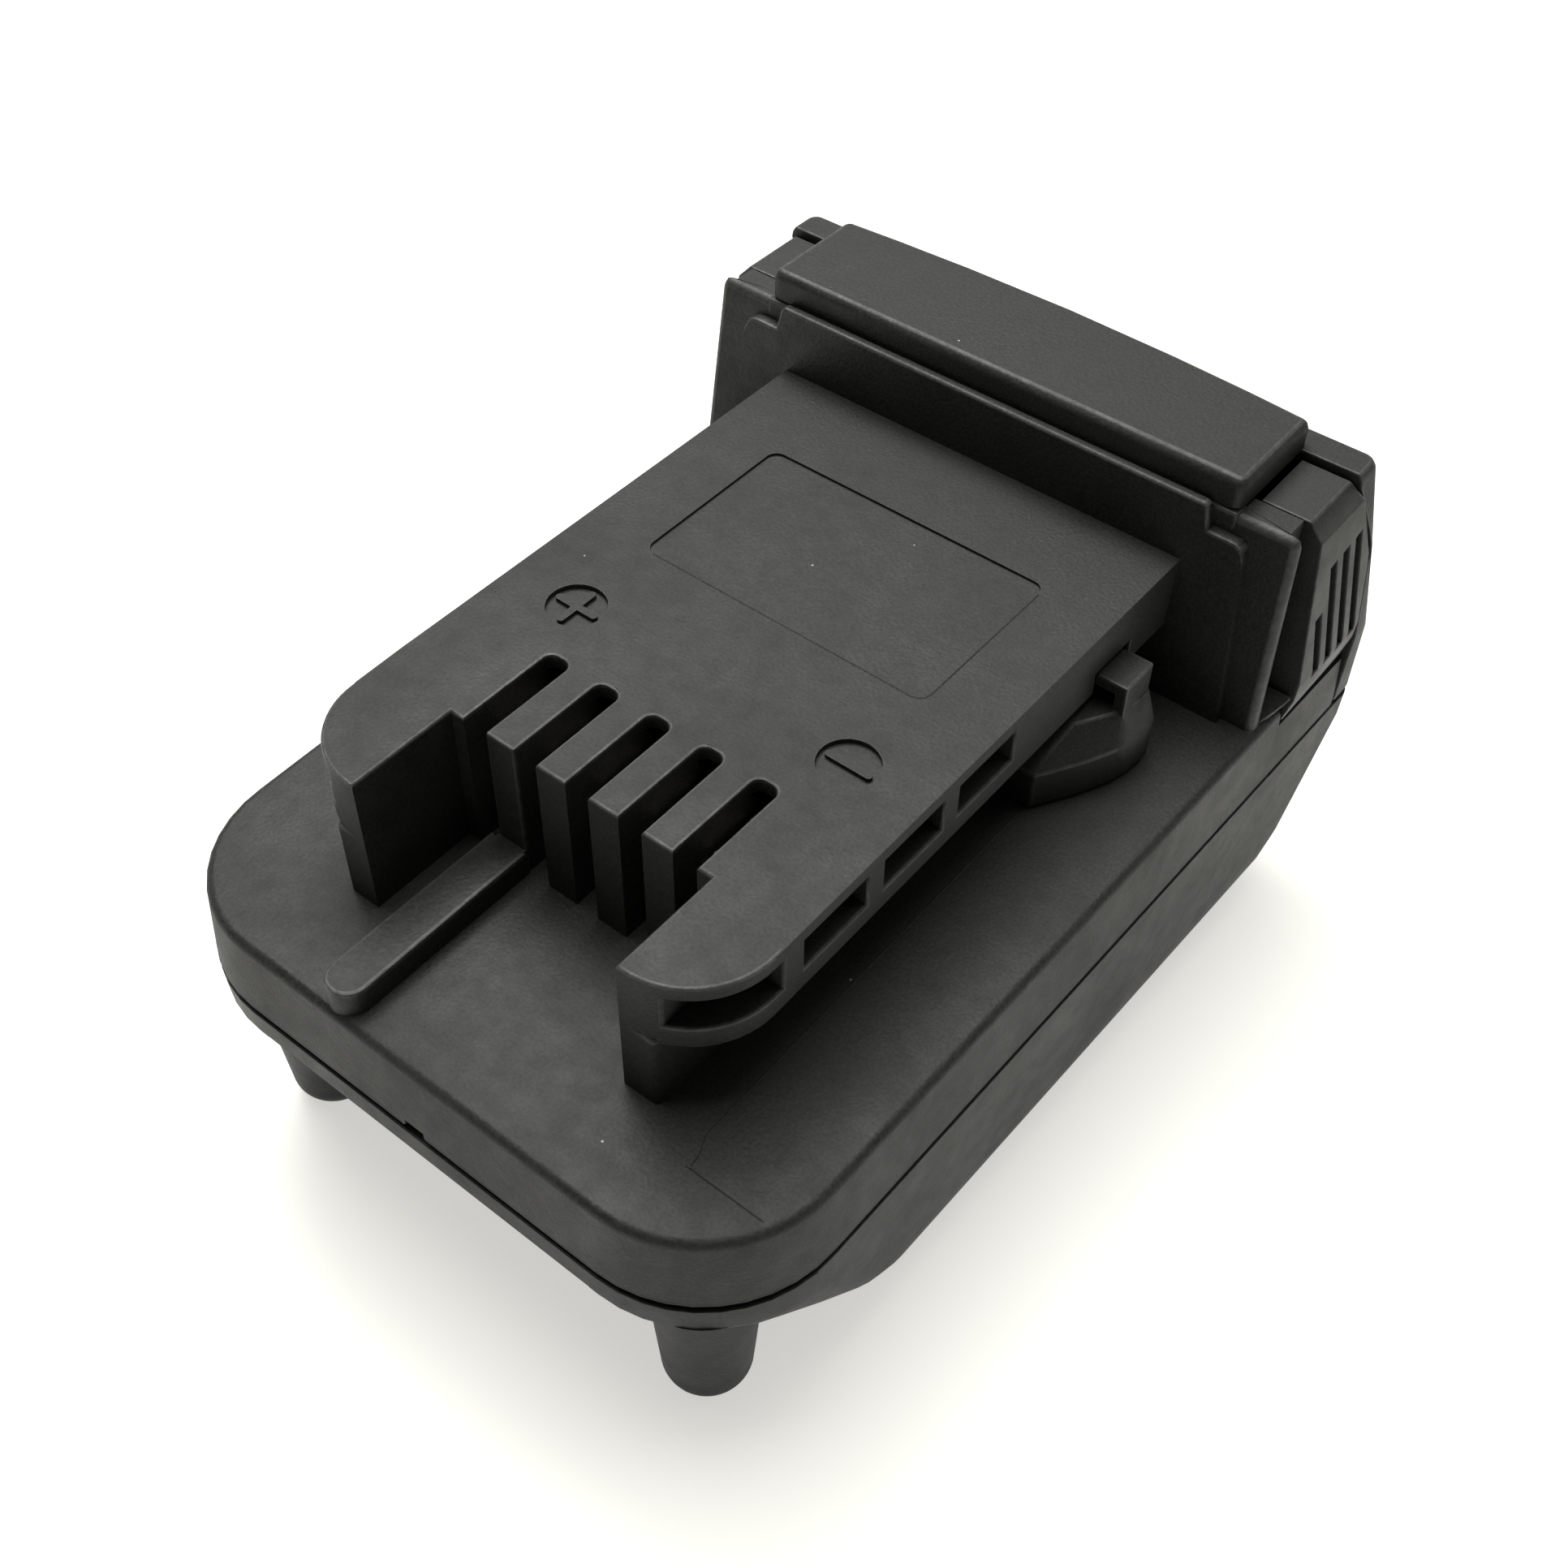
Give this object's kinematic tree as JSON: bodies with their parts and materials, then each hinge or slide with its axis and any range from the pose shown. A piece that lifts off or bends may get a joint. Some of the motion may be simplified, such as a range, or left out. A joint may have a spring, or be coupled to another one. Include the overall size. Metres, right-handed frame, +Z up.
{
  "type": "tool battery adapter",
  "caption": "Slide-on black plastic adapter with a forked contact rail on top, side release buttons with spring latches and a battery bay underneath.",
  "frame": {"origin": "centre of the footprint on the floor", "axes": "+X to the right release button, +Y from the prongs to the head, +Z up from the floor to the rail"},
  "size_m": [0.0868, 0.1222, 0.07],
  "materials": {
    "housing_black": "fine spark-eroded grain",
    "latch_black": "smooth matt",
    "inner_plastic": "plain moulded",
    "spring_steel": "drawn wire",
    "screw_steel": "zinc plated",
    "contact_brass": "stamped and tinned",
    "board_green": "solder mask",
    "fuse_amber": "clear moulded",
    "capacitor_sleeve": "shrunk sleeve",
    "choke_core": "coated core",
    "package_black": "moulded package"
  },
  "bodies": {
    "housing": {"upper_housing": "housing_black", "lower_housing": "housing_black", "rear_cover": "housing_black", "latch_guide": "inner_plastic", "terminal_carrier": "inner_plastic", "battery_block": "inner_plastic", "battery_rail_left": "inner_plastic", "battery_rail_right": "inner_plastic", "latch_spring_left": "spring_steel", "latch_spring_right": "spring_steel", "guide_screw_left": "screw_steel", "guide_screw_right": "screw_steel", "board_screw_left": "screw_steel", "board_screw_right": "screw_steel", "catch_plate": "screw_steel", "housing_screw_front_left": "screw_steel", "housing_screw_front_right": "screw_steel", "housing_screw_mid_left": "screw_steel", "housing_screw_mid_right": "screw_steel", "cover_screw_left": "screw_steel", "cover_screw_right": "screw_steel", "tool_contact_1": "contact_brass", "tool_contact_2": "contact_brass", "tool_contact_3": "contact_brass", "tool_contact_4": "contact_brass", "tool_contact_5": "contact_brass", "battery_blade_positive": "contact_brass", "battery_blade_negative": "contact_brass", "battery_blade_signal": "contact_brass", "battery_blade_sense": "contact_brass", "busbar_positive": "contact_brass", "busbar_negative": "contact_brass", "circuit_board": "board_green", "fuse": "fuse_amber", "capacitor": "capacitor_sleeve", "choke": "choke_core", "power_switch_left": "package_black", "power_switch_right": "package_black"},
    "latch_left": {"latch_slide_left": "latch_black", "release_button_left": "latch_black"},
    "latch_right": {"latch_slide_right": "latch_black", "release_button_right": "latch_black"}
  },
  "joints": [
    {"name": "latch_left_slide", "type": "slide", "parent": "housing", "child": "latch_left", "axis": [1, 0, 0], "range_m": [0, 0.004], "stiffness_N_per_m": 400, "springref_m": -0.008, "deforming": ["latch_spring_left"]},
    {"name": "latch_right_slide", "type": "slide", "parent": "housing", "child": "latch_right", "axis": [-1, 0, 0], "range_m": [0, 0.004], "stiffness_N_per_m": 400, "springref_m": -0.008, "deforming": ["latch_spring_right"]}
  ]
}
